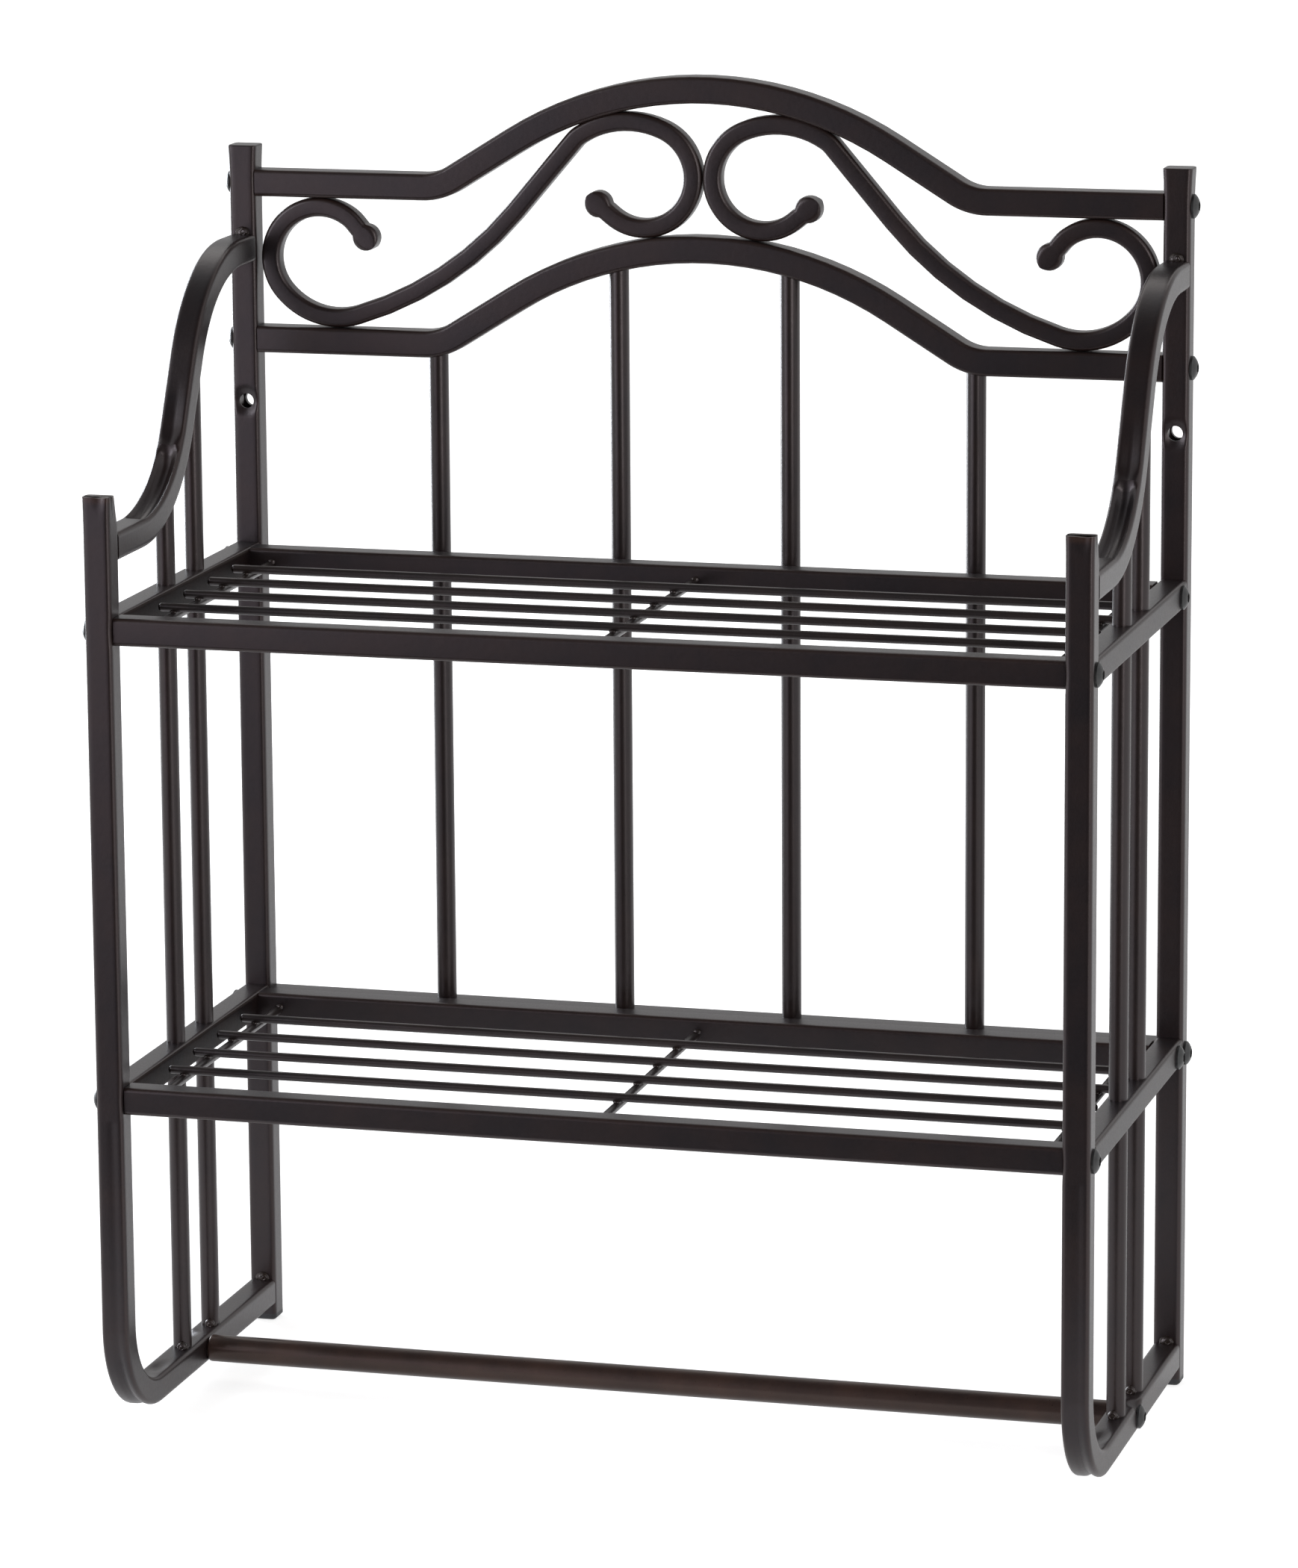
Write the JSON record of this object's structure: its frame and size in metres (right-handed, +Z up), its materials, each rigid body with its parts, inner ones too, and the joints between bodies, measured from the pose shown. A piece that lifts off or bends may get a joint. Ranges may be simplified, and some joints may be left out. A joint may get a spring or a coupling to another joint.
{
  "type": "wall shelf",
  "caption": "Wall shelf of bent square tube with wire shelves, a towel bar below, a slatted back and an arched crest with scrolls.",
  "frame": {"origin": "on the wall plane, midway between the two wall screw holes in the rear posts", "axes": "+X to the right as one faces the shelf, +Y back into the wall, +Z up"},
  "size_m": [0.466, 0.222, 0.6106],
  "materials": {
    "painted_steel": "satin",
    "black_bolt": "satin",
    "plain_steel": "plain",
    "black_plastic": "matte"
  },
  "bodies": {
    "root": {"left_front_post": "painted_steel", "right_front_post": "painted_steel", "left_rear_post": "painted_steel", "right_rear_post": "painted_steel", "left_arm": "painted_steel", "right_arm": "painted_steel", "left_upper_side_rail": "painted_steel", "right_upper_side_rail": "painted_steel", "left_lower_side_rail": "painted_steel", "right_lower_side_rail": "painted_steel", "left_front_side_rod": "painted_steel", "left_rear_side_rod": "painted_steel", "right_front_side_rod": "painted_steel", "right_rear_side_rod": "painted_steel", "upper_crest_rail": "painted_steel", "lower_crest_rail": "painted_steel", "left_scroll": "painted_steel", "right_scroll": "painted_steel", "back_rod_1": "painted_steel", "back_rod_2": "painted_steel", "back_rod_3": "painted_steel", "back_rod_4": "painted_steel", "back_bottom_rail": "painted_steel", "towel_bar": "painted_steel", "upper_shelf_front_rail": "painted_steel", "upper_shelf_rear_rail": "painted_steel", "upper_cross_wire_1": "painted_steel", "upper_cross_wire_2": "painted_steel", "upper_cross_wire_3": "painted_steel", "upper_long_wire_1": "painted_steel", "upper_long_wire_2": "painted_steel", "upper_long_wire_3": "painted_steel", "upper_long_wire_4": "painted_steel", "lower_shelf_front_rail": "painted_steel", "lower_shelf_rear_rail": "painted_steel", "lower_cross_wire_1": "painted_steel", "lower_cross_wire_2": "painted_steel", "lower_cross_wire_3": "painted_steel", "lower_long_wire_1": "painted_steel", "lower_long_wire_2": "painted_steel", "lower_long_wire_3": "painted_steel", "lower_long_wire_4": "painted_steel", "towel_bar_bolts": "black_bolt", "upper_shelf_bolts": "black_bolt", "lower_shelf_bolts": "black_bolt", "crest_bolts": "black_bolt", "back_rail_bolts": "black_bolt", "towel_bar_plugs": "plain_steel", "upper_shelf_plugs": "plain_steel", "lower_shelf_plugs": "plain_steel", "crest_plugs": "plain_steel", "back_rail_plugs": "plain_steel", "left_foot_cap": "black_plastic", "right_foot_cap": "black_plastic"}
  },
  "joints": []
}
